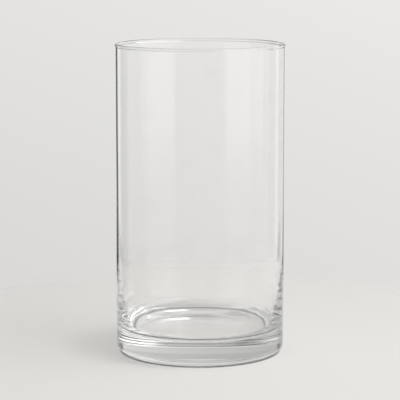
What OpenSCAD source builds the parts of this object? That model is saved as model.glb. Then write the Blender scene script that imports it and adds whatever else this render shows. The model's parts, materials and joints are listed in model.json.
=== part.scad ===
// Glass cylinder vase: one piece of clear soda-lime glass, blown in a mould,
// with a heavy base, a wall that thins upwards and a fire-polished rim.
// Millimetres, +Z up, origin at the centre of the underside.

/* [Body] */
// Outside diameter of the straight wall
body_d = 125; // [90:1:180]
// Overall height, underside to top of rim
body_h = 230; // [165:1:330]
// Wall thickness above the thickened foot of the wall
wall_t = 1.6; // [1.5:0.1:3]

/* [Rim] */
// How far the fire-polished bead stands out past the outside of the wall
bead_proud = 0.4; // [0:0.1:0.8]
// How far the bead stands in past the inside of the wall
bead_inset = 0.1; // [0:0.05:0.2]
// Upright stretch between the bead's round top and its round underside
bead_straight = 0.4; // [0.2:0.1:3]

/* [Base] */
// Glass thickness from the standing plane to the inside floor
floor_t = 16.5; // [10:0.5:20]
// Radius of the rounded heel, where the wall turns under
heel_r = 6; // [3:0.5:8]
// Width of the flat ring that the vase stands on
standing_w = 5; // [3:0.5:12]
// Rise of the shallow hollow inside the standing ring
hollow_rise = 1.5; // [0.5:0.1:3]

/* [Inside] */
// Radius of the rounded corner between the floor and the wall
corner_r = 9; // [6:0.5:18]
// Radius of the long curve that thickens the wall towards the base
foot_curve_r = 317; // [200:1:500]
// Height at which the wall reaches its full thinness
foot_curve_top = 76; // [60:1:90]

/* [Hidden] */
$fn = 128;

body_r = body_d / 2;
inner_r = body_r - wall_t;
bead_w = wall_t + bead_proud + bead_inset;
bead_r = bead_w / 2;
bead_centre_r = body_r + bead_proud - bead_r;
bead_top_z = body_h - bead_r;
bead_bottom_z = bead_top_z - bead_straight;
hollow_r = body_r - heel_r - standing_w;
hollow_sphere_r = (hollow_r * hollow_r + hollow_rise * hollow_rise) / (2 * hollow_rise);

// The long foot curve is tangent to the upright wall, so its centre is level with its top.
foot_centre = [inner_r - foot_curve_r, foot_curve_top];
// The corner arc touches the floor and lies inside the foot curve, touching it at foot_end.
corner_z = floor_t + corner_r;
centre_gap = foot_curve_r - corner_r;
corner_drop = foot_curve_top - corner_z;
corner_centre = [
    foot_centre[0] + sqrt(centre_gap * centre_gap - corner_drop * corner_drop),
    corner_z
];
foot_end = foot_centre + (corner_centre - foot_centre) * foot_curve_r / centre_gap;

// Outside of the glass as a half section, x outwards and y up: straight wall and rounded heel.
module outside_section() {
    translate([0, heel_r])
        square([body_r, bead_top_z - heel_r]);
    square([body_r - heel_r, heel_r]);
    intersection() {
        translate([body_r - heel_r, heel_r]) circle(r = heel_r);
        translate([body_r - heel_r, 0]) square(heel_r);
    }
}

// Stadium-shaped section of the fire-polished bead.
module bead_section() {
    translate([bead_centre_r, bead_top_z]) circle(r = bead_r);
    translate([bead_centre_r, bead_bottom_z]) circle(r = bead_r);
    translate([bead_centre_r - bead_r, bead_bottom_z])
        square([bead_w, bead_straight]);
}

// Air inside the vase: floor, corner arc, long foot curve, then the straight bore.
module cavity_section() {
    translate([0, floor_t])
        square([corner_centre[0], foot_end[1] - floor_t]);
    intersection() {
        translate(corner_centre) circle(r = corner_r);
        translate([corner_centre[0], floor_t])
            square([corner_r, foot_end[1] - floor_t]);
    }
    intersection() {
        translate(foot_centre) circle(r = foot_curve_r, $fn = 720);
        translate([0, foot_end[1]])
            square([body_r, foot_curve_top - foot_end[1]]);
    }
    translate([0, foot_curve_top])
        square([inner_r, body_h]);
}

// Shallow hollow under the base, so that only the outer ring touches the table.
module hollow_section() {
    intersection() {
        translate([0, hollow_rise - hollow_sphere_r])
            circle(r = hollow_sphere_r, $fn = 1440);
        square([hollow_r, hollow_rise]);
    }
}

module vase_body() {
    color([0.86, 0.90, 0.87, 0.35])
    rotate_extrude(angle = 360) {
        difference() {
            outside_section();
            cavity_section();
            hollow_section();
        }
        bead_section();
    }
}

vase_body();
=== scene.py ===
import json
import math

import bmesh
import bpy
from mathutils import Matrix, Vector


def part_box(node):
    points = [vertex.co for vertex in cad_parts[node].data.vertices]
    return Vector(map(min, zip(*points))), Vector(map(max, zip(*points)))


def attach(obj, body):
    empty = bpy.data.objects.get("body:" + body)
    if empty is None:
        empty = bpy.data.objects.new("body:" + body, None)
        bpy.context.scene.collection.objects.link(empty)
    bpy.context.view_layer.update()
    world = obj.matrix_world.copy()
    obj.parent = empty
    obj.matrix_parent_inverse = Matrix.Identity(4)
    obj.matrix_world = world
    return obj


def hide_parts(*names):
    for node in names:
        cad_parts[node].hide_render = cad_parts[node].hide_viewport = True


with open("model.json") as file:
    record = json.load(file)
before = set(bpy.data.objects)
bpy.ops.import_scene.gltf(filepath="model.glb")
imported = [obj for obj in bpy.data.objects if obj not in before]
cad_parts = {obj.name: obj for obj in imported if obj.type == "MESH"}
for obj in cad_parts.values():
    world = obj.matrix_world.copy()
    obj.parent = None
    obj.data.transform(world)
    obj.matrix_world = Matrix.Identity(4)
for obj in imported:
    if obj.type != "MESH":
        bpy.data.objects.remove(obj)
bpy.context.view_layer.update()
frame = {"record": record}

# ---------------------------------------------------------------------------
# Sizes, in metres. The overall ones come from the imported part, the rest are the
# part's own driving dimensions.
# ---------------------------------------------------------------------------
NODE = "vase_body"
LOW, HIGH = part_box(NODE)
BORE = next(m for m in frame["record"]["mounts"] if m["name"] == "inner_bore")

BODY_H = HIGH[2]
RIM_R = HIGH[0]
BEAD_PROUD = 0.0004
BEAD_INSET = 0.0001
BEAD_STRAIGHT = 0.0004
BODY_R = RIM_R - BEAD_PROUD
INNER_R = BORE["dims"]["r_mm"] / 1000
HEEL_R = 0.006
STANDING_W = 0.005
HOLLOW_RISE = 0.0015
FLOOR_T = 0.0165
CORNER_R = 0.009
FOOT_CURVE_R = 0.317
FOOT_CURVE_TOP = 0.076

# The mesh: points round each ring, and the spacing of the rings
SEGMENTS = 320
WALL_STEP = 0.002
OUTSIDE_STEP = 0.008
BEAD_STEP = 0.0005

# The unevenness inside the wall
RIPPLE = 0.000008
RIPPLE_TOP = 0.100
SLOW_WAVE = 0.00001

# The glass
GLASS_IOR = 1.52
GLASS_TINT = (0.59, 0.61, 0.605, 1.0)
GLASS_DENSITY = 3.0

# The floor, and the painted shade and painted shadow set in it round the heel
FLOOR_R = 0.34
FLOOR_FADE_START = 0.25
FLOOR_GAP = 0.0002
FLOOR_COLOUR = (0.80, 0.794, 0.780)
CONTACT_START, CONTACT_END, CONTACT_SOFT = 0.0555, 0.0592, 0.0020
CONTACT_SHADE = -0.65
SHADOW_CENTRE = (-0.030, 0.020, 0.0)
SHADOW_CORE, SHADOW_EDGE = 0.034, 0.090
SHADOW_SHADE = -0.16

# The lights aim here
LIGHT_TARGET = (0.0, 0.0, 0.05)

# The camera
CAMERA_PLACE = (0.0, -1.333, 0.315)
CAMERA_AIM = (0.0, 0.0, 0.1133)
LENS_MM = 162.7
SENSOR_MM = 36.0


# ---------------------------------------------------------------------------
# The vase's section: a list of (radius, height) points, from the middle of the
# inside floor, up the inside, over the rim, down the outside and under the base.
# ---------------------------------------------------------------------------
def arc(centre, radius, start, end, steps):
    """Points round a circle, from angle start to angle end in degrees."""
    points = []
    for i in range(steps + 1):
        angle = math.radians(start + (end - start) * i / steps)
        points.append((centre[0] + radius * math.cos(angle), centre[1] + radius * math.sin(angle)))
    return points


def straight(start, end, step):
    """Evenly spaced points between two points, without the two themselves."""
    count = max(1, round(math.dist(start, end) / step))
    return [
        (start[0] + (end[0] - start[0]) * i / count, start[1] + (end[1] - start[1]) * i / count)
        for i in range(1, count)
    ]


def vase_section():
    foot_centre = (INNER_R - FOOT_CURVE_R, FOOT_CURVE_TOP)
    corner_z = FLOOR_T + CORNER_R
    gap = FOOT_CURVE_R - CORNER_R
    corner_centre = (
        foot_centre[0] + math.sqrt(gap ** 2 - (FOOT_CURVE_TOP - corner_z) ** 2),
        corner_z,
    )
    foot_angle = math.degrees(
        math.atan2(corner_centre[1] - foot_centre[1], corner_centre[0] - foot_centre[0])
    )
    bead_r = (BODY_R + BEAD_PROUD - INNER_R + BEAD_INSET) / 2
    bead_x = RIM_R - bead_r
    bead_top = BODY_H - bead_r
    bead_bottom = bead_top - BEAD_STRAIGHT
    # Where the bead's lower round meets the inside and the outside of the wall
    inside_turn = -180 + math.degrees(math.acos((bead_x - INNER_R) / bead_r))
    outside_turn = -math.degrees(math.acos((BODY_R - bead_x) / bead_r))
    hollow_r = BODY_R - HEEL_R - STANDING_W
    hollow_sphere_r = (hollow_r ** 2 + HOLLOW_RISE ** 2) / (2 * HOLLOW_RISE)
    hollow_angle = math.degrees(math.asin(hollow_r / hollow_sphere_r))

    points = [(0.0, FLOOR_T)]
    points += straight((0.0, FLOOR_T), (corner_centre[0], FLOOR_T), WALL_STEP)
    points += arc(corner_centre, CORNER_R, -90, foot_angle, 28)
    points += arc(foot_centre, FOOT_CURVE_R, foot_angle, 0, 56)[1:]
    # Close rings under the bead keep its lower edges crisp
    bead_start = arc((bead_x, bead_bottom), bead_r, inside_turn, -180, 3)
    inside_top = (INNER_R, bead_start[0][1] - 4 * BEAD_STEP)
    points += straight((INNER_R, FOOT_CURVE_TOP), inside_top, WALL_STEP) + [inside_top]
    points += straight(inside_top, bead_start[0], BEAD_STEP)
    points += bead_start
    points += arc((bead_x, bead_top), bead_r, 180, 0, 28)
    bead_end = arc((bead_x, bead_bottom), bead_r, 0, outside_turn, 6)
    outside_top = (BODY_R, bead_end[-1][1] - 4 * BEAD_STEP)
    points += bead_end + straight(bead_end[-1], outside_top, BEAD_STEP) + [outside_top]
    points += straight(outside_top, (BODY_R, HEEL_R), OUTSIDE_STEP)
    points += arc((BODY_R - HEEL_R, HEEL_R), HEEL_R, 0, -90, 20)
    points += straight((BODY_R - HEEL_R, 0.0), (hollow_r, 0.0), WALL_STEP)
    points += arc((0.0, HOLLOW_RISE - hollow_sphere_r), hollow_sphere_r,
                  90 - hollow_angle, 90, 24)
    points[-1] = (0.0, HOLLOW_RISE)
    return points


def smooth_step(value, start, end):
    """0 at start and 1 at end, with a smooth change between."""
    t = min(1.0, max(0.0, (value - start) / (end - start)))
    return t * t * (3 - 2 * t)


def unevenness(radius, height, angle):
    """How far the mould and the blowing leave the inside of the wall from a true radius.

    Low down, short ripples run round the wall. Higher up only a long, slow wave is left.
    """
    if radius > BODY_R - 0.001 or height < FLOOR_T + 0.002:
        return 0.0
    away_from_rim = smooth_step(height, BODY_H - 0.004, BODY_H - 0.030)
    start = smooth_step(height, FLOOR_T + 0.002, FLOOR_T + 0.010)
    low_down = smooth_step(height, RIPPLE_TOP, 0.040)
    turn = 2 * math.pi * height
    ripple = math.sin(turn / 0.0078 + 1.6 * math.sin(angle + 0.7))
    ripple += 0.6 * math.sin(turn / 0.0051 + 2.0 * math.sin(2 * angle - 1.1))
    slow = math.sin(3 * angle + turn / 0.19) + 0.6 * math.sin(5 * angle - turn / 0.11 + 2.0)
    return start * away_from_rim * (RIPPLE * low_down * ripple + SLOW_WAVE * slow)


def lathe(name, points, segments, wobble):
    """Turns a section that starts and ends on the axis into a closed, smooth mesh."""
    shape = bmesh.new()
    first = shape.verts.new((0.0, 0.0, points[0][1]))
    last = shape.verts.new((0.0, 0.0, points[-1][1]))
    rings = []
    for radius, height in points[1:-1]:
        ring = []
        for i in range(segments):
            angle = 2 * math.pi * i / segments
            r = radius + wobble(radius, height, angle)
            ring.append(shape.verts.new((r * math.cos(angle), r * math.sin(angle), height)))
        rings.append(ring)
    for i in range(segments):
        j = (i + 1) % segments
        shape.faces.new((first, rings[0][i], rings[0][j]))
        shape.faces.new((last, rings[-1][j], rings[-1][i]))
        for low, high in zip(rings, rings[1:]):
            shape.faces.new((low[i], high[i], high[j], low[j]))
    bmesh.ops.recalc_face_normals(shape, faces=shape.faces)
    mesh = bpy.data.meshes.new(name)
    shape.to_mesh(mesh)
    shape.free()
    for face in mesh.polygons:
        face.use_smooth = True
    piece = bpy.data.objects.new(name, mesh)
    bpy.context.scene.collection.objects.link(piece)
    return piece


# ---------------------------------------------------------------------------
# Node helpers
# ---------------------------------------------------------------------------
class Graph:
    """Adds nodes to a tree, with each input given as a value or as another node's socket."""

    def __init__(self, tree):
        self.tree = tree
        tree.nodes.clear()

    def add(self, kind, inputs=None, **settings):
        node = self.tree.nodes.new("ShaderNode" + kind)
        for key, value in settings.items():
            setattr(node, key, value)
        for key, value in (inputs or {}).items():
            socket = node.inputs[key]
            if isinstance(value, bpy.types.NodeSocket):
                self.tree.links.new(value, socket)
            else:
                socket.default_value = value
        return node

    def math(self, operation, a, b=0.0, c=0.0):
        return self.add("Math", {0: a, 1: b, 2: c}, operation=operation).outputs[0]

    def fade(self, value, start, end, low=0.0, high=1.0):
        """low at start and high at end, with a smooth change between."""
        inputs = {"Value": value, "From Min": start, "From Max": end, "To Min": low, "To Max": high}
        return self.add("MapRange", inputs, interpolation_type="SMOOTHSTEP").outputs[0]

    def window(self, value, start, end, soft):
        """1 between start and end, falling to 0 over the width soft outside them."""
        rise = self.fade(value, self.math("SUBTRACT", start, soft), start)
        fall = self.fade(value, end, self.math("ADD", end, soft), 1.0, 0.0)
        return self.math("MULTIPLY", rise, fall)


# ---------------------------------------------------------------------------
# Materials
# ---------------------------------------------------------------------------
def clear_glass():
    material = bpy.data.materials.new("clear_glass")
    material.use_nodes = True
    g = Graph(material.node_tree)
    place = g.add("TexCoord").outputs["Object"]
    # A thin film from handling, a little duller in patches
    smudge = g.add("TexNoise", {"Vector": place, "Scale": 45.0, "Detail": 5.0}).outputs["Fac"]
    roughness = g.fade(smudge, 0.45, 0.75, 0.0, 0.015)
    film = g.fade(smudge, 0.50, 0.80, 1.0, 0.975)
    film_colour = g.add("CombineColor", {0: film, 1: film, 2: film}).outputs[0]
    # Blown glass isn't quite flat between its ripples
    swell = g.add("TexNoise", {"Vector": place, "Scale": 22.0, "Detail": 2.0}).outputs["Fac"]
    surface = g.add("Bump", {"Height": swell, "Strength": 0.10, "Distance": 0.00002}).outputs[0]
    shader = g.add("BsdfPrincipled", {
        "Base Color": film_colour,
        "IOR": GLASS_IOR,
        "Transmission Weight": 1.0,
        "Roughness": roughness,
        "Normal": surface,
    })
    depth = g.add("VolumeAbsorption", {"Color": GLASS_TINT, "Density": GLASS_DENSITY})
    g.add("OutputMaterial", {"Surface": shader.outputs[0], "Volume": depth.outputs[0]})
    return material


def floor_with_painted_shade():
    material = bpy.data.materials.new("floor_with_painted_shade")
    material.use_nodes = True
    g = Graph(material.node_tree)
    place = g.add("TexCoord").outputs["Object"]
    from_middle = g.add("VectorMath", {0: place}, operation="LENGTH").outputs["Value"]
    # Painted shade: the floor is painted darker in a ring under the heel, where the vase nearly
    # touches it
    painted_contact_shade = g.window(from_middle, CONTACT_START, CONTACT_END, CONTACT_SOFT)
    light = g.math("MULTIPLY_ADD", painted_contact_shade, CONTACT_SHADE, 1.0)
    # Painted shadow: a soft darker patch beside the heel on the left, which adds to the shadow that
    # the lights cast
    apart = g.add("VectorMath", {0: place, 1: SHADOW_CENTRE}, operation="DISTANCE")
    shadow_patch = g.fade(apart.outputs["Value"], SHADOW_CORE, SHADOW_EDGE, 1.0, 0.0)
    painted_shadow_mask = g.math("MULTIPLY", shadow_patch, g.fade(from_middle, 0.058, 0.062))
    light = g.math("MULTIPLY_ADD", painted_shadow_mask, SHADOW_SHADE, light)
    shaded = g.add("VectorMath", {0: FLOOR_COLOUR, "Scale": light}, operation="SCALE")
    paint = g.add("BsdfPrincipled", {
        "Base Color": shaded.outputs[0],
        "Roughness": 0.9,
        "Specular IOR Level": 0.2,
    }).outputs[0]
    clear = g.add("BsdfTransparent").outputs[0]
    edge = g.fade(from_middle, FLOOR_FADE_START, FLOOR_R)
    shader = g.add("MixShader", {0: edge, 1: paint, 2: clear})
    g.add("OutputMaterial", {"Surface": shader.outputs[0]})
    return material


# ---------------------------------------------------------------------------
# Stage, light and camera
# ---------------------------------------------------------------------------
def make_floor(radius, material):
    """A flat round sheet, centred just under the vase."""
    outline = arc((0.0, 0.0), radius, 0, 360, 180)[:-1]
    mesh = bpy.data.meshes.new("floor")
    level = LOW[2] - FLOOR_GAP
    mesh.from_pydata([(x, y, level) for x, y in outline], [], [list(range(len(outline)))])
    mesh.materials.append(material)
    floor = bpy.data.objects.new("floor", mesh)
    bpy.context.scene.collection.objects.link(floor)


def softbox(name, azimuth, distance, height, width, tall, power):
    """A rectangular area light. Azimuth 0 is on the camera's side, +90 is on the +X side."""
    light = bpy.data.lights.new(name, "AREA")
    light.shape = "RECTANGLE"
    light.size = width
    light.size_y = tall
    light.energy = power
    lamp = bpy.data.objects.new(name, light)
    angle = math.radians(azimuth)
    lamp.location = (distance * math.sin(angle), -distance * math.cos(angle), height)
    aim = Vector(LIGHT_TARGET) - lamp.location
    lamp.rotation_euler = aim.to_track_quat("-Z", "Y").to_euler()
    lamp.visible_camera = False
    bpy.context.scene.collection.objects.link(lamp)


def studio_world():
    world = bpy.data.worlds.new("studio")
    bpy.context.scene.world = world
    world.use_nodes = True
    g = Graph(world.node_tree)
    way = g.add("TexCoord").outputs["Generated"]
    axes = g.add("SeparateXYZ", {"Vector": way}).outputs
    degrees = 180 / math.pi
    azimuth = g.math("MULTIPLY", g.math("ARCTAN2", axes["X"], axes["Y"]), degrees)
    elevation = g.math("MULTIPLY", g.math("ARCSINE", axes["Z"]), degrees)
    tone = g.fade(elevation, -14.0, 4.0, 0.712, 0.834)
    # Above, a darker ceiling round a bright patch overhead
    tone = g.math("MULTIPLY", tone, g.fade(elevation, 28.0, 42.0, 1.0, 0.55))
    tone = g.math("MULTIPLY", tone, g.fade(elevation, 55.0, 66.0, 1.0, 1.75))
    upper_band = g.fade(elevation, 13.5, 15.0, -0.24, -0.34)
    upper_band = g.math("MULTIPLY", upper_band, g.window(elevation, 9.0, 19.0, 3.0))
    tone = g.math("MULTIPLY", tone, g.math("ADD", upper_band, 1.0))
    # The right is brighter than the left, and less so behind the camera
    side_light = g.fade(g.math("ABSOLUTE", azimuth), 90.0, 130.0, 0.27, 0.12)
    tone = g.math("MULTIPLY", tone, g.math("MULTIPLY_ADD", axes["X"], side_light, 1.0))

    # The surroundings near the vase's own height. Each is a change of brightness over a
    # range of azimuth, with its soft edge. The flags beside the view reach further in low down.
    low_band = g.window(elevation, -14.0, 2.0, 2.0)
    left_inner = g.fade(elevation, -10.5, -8.5, -11.0, -16.5)
    right_inner = g.fade(elevation, -10.5, -8.5, 9.5, 13.5)
    left_window = g.fade(elevation, -9.0, -5.5, 0.20, 0.55)
    right_window = g.fade(elevation, -9.0, -5.5, 0.06, 0.50)
    surroundings = [
        (-13.5, -9.0, 2.5, 0.12, "left glow"),
        (-25.0, left_inner, 4.0, -0.88, "left flag"),
        (-37.0, -31.0, 4.0, 0.40, "left gap"),
        (-60.0, -47.0, 8.0, -0.66, "far left flag"),
        (-95.0, -68.0, 8.0, -0.12, "left side"),
        (-141.0, -108.0, 8.0, left_window, "left window"),
        (right_inner, 17.5, 3.0, -0.70, "right flag"),
        (36.0, 78.0, 6.0, 0.12, "right side"),
        (86.0, 142.5, 3.0, right_window, "right window"),
    ]
    change = 0.0
    for start, end, soft, amount, _ in surroundings:
        change = g.math("MULTIPLY_ADD", g.window(azimuth, start, end, soft), amount, change)
    change = g.math("MAXIMUM", change, -1.0)
    tone = g.math("MULTIPLY", tone, g.math("MULTIPLY_ADD", change, low_band, 1.0))

    # Dark strips at both sides, which the thick base picks up
    side = g.window(g.math("ABSOLUTE", azimuth), 62.0, 105.0, 4.0)
    strip = g.math("MULTIPLY", side, g.window(elevation, 5.0, 17.0, 2.0))
    tone = g.math("MULTIPLY", tone, g.math("MULTIPLY_ADD", strip, -0.92, 1.0))
    colour = g.add("CombineColor", {
        0: tone,
        1: g.math("MULTIPLY", tone, 0.990),
        2: g.math("MULTIPLY", tone, 0.970),
    }).outputs[0]
    shader = g.add("Background", {"Color": colour, "Strength": 1.0})
    g.add("OutputWorld", {"Surface": shader.outputs[0]})


def place_camera():
    data = bpy.data.cameras.new("product_camera")
    data.sensor_width = SENSOR_MM
    data.lens = LENS_MM
    camera = bpy.data.objects.new("product_camera", data)
    camera.location = CAMERA_PLACE
    aim = Vector(CAMERA_AIM) - camera.location
    camera.rotation_euler = aim.to_track_quat("-Z", "Y").to_euler()
    bpy.context.scene.collection.objects.link(camera)
    bpy.context.scene.camera = camera


# ---------------------------------------------------------------------------
# The vase
# ---------------------------------------------------------------------------
place_camera()
vase = lathe("vase_glass", vase_section(), SEGMENTS, unevenness)
vase.data.materials.append(clear_glass())
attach(vase, "root")
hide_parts(NODE)

make_floor(FLOOR_R, floor_with_painted_shade())
studio_world()
softbox("key_softbox", 55.0, 1.30, 1.05, 1.60, 1.20, 5.0)
softbox("fill_softbox", 70.0, 1.50, 1.20, 2.60, 1.60, 18.5)

scene = bpy.context.scene
scene.view_settings.view_transform = "Standard"
scene.cycles.max_bounces = 64
scene.cycles.transmission_bounces = 64
scene.cycles.glossy_bounces = 32
scene.cycles.caustics_refractive = True
scene.cycles.caustics_reflective = True
scene.cycles.use_denoising = True
scene.cycles.blur_glossy = 0.0
